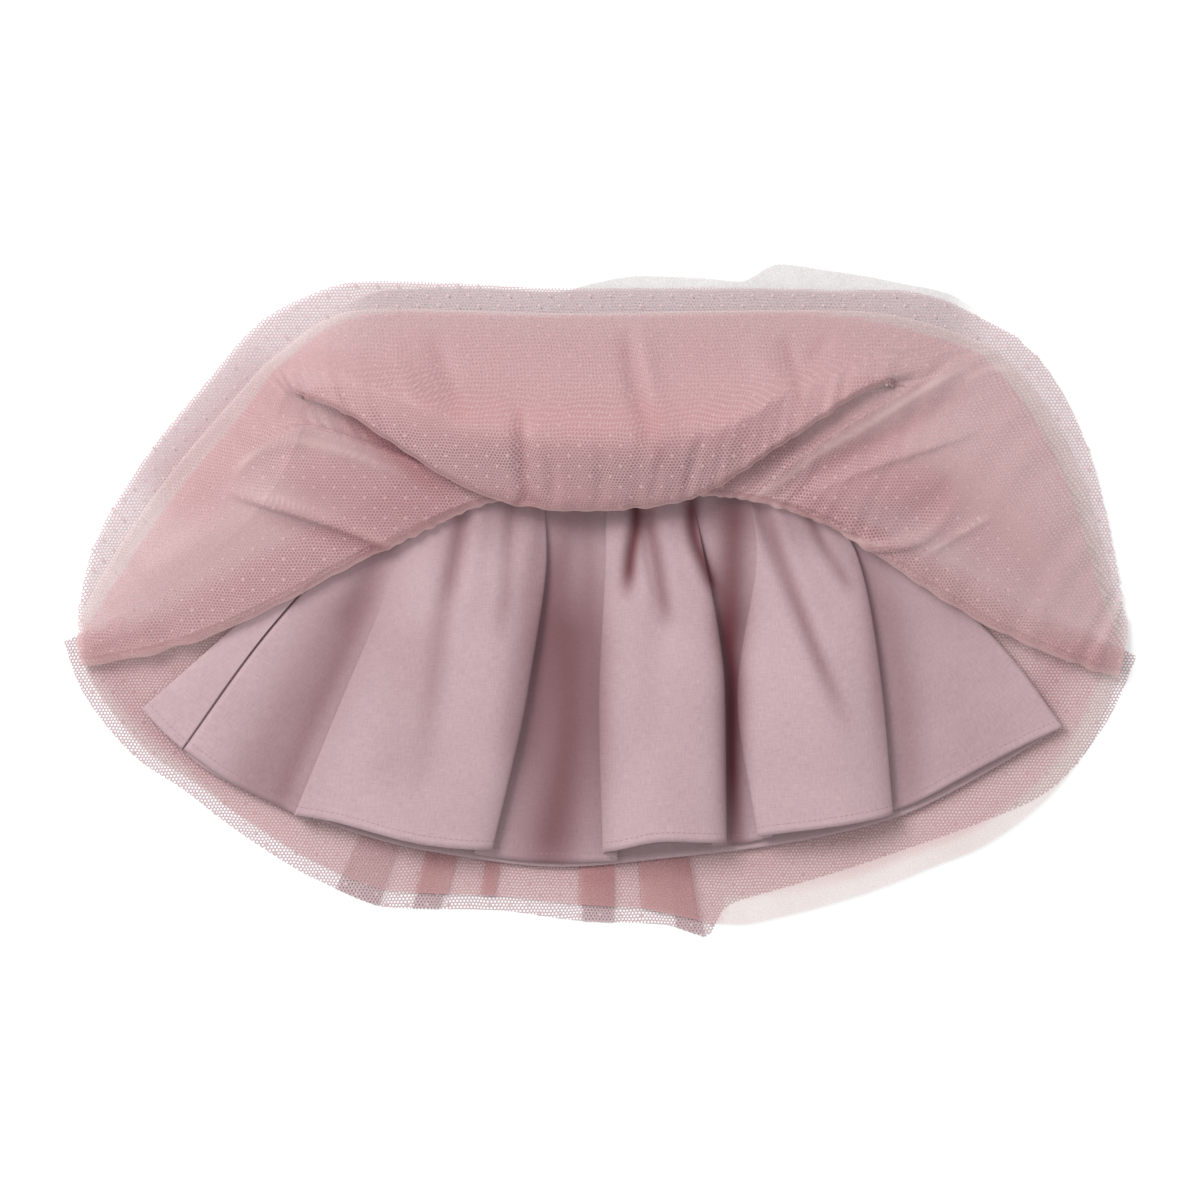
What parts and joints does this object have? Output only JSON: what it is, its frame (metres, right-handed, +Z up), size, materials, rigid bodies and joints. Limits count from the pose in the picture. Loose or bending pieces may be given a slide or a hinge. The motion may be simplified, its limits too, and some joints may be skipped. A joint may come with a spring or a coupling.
{
  "type": "tulle skirt",
  "caption": "Child's gathered tulle skirt laid flat, its dotted net and tulle front turned up to show the pleated cotton lining.",
  "frame": {"origin": "centre of the skirt's outline as it lies, on the surface it rests on", "axes": "+X along the waistband across the skirt's widest way, +Y from hem to waist across the flat skirt, +Z up from the surface"},
  "size_m": [0.592, 0.371, 0.0375],
  "materials": {
    "waistband": "gathered cotton over elastic, matte",
    "cotton_lining": "plain-woven cotton voile, matte, dusty pink",
    "dotted_net": "hexagonal nylon net with a flocked dot repeat, dusty rose",
    "fine_tulle": "sheer fine tulle, soft sheen, dusty rose"
  },
  "bodies": {
    "root": {"waistband": "waistband", "lining_front": "cotton_lining", "lining_back": "cotton_lining", "net_back": "dotted_net", "net_front": "dotted_net", "tulle_back": "fine_tulle", "tulle_front": "fine_tulle", "sheer_front": "fine_tulle"}
  },
  "joints": []
}
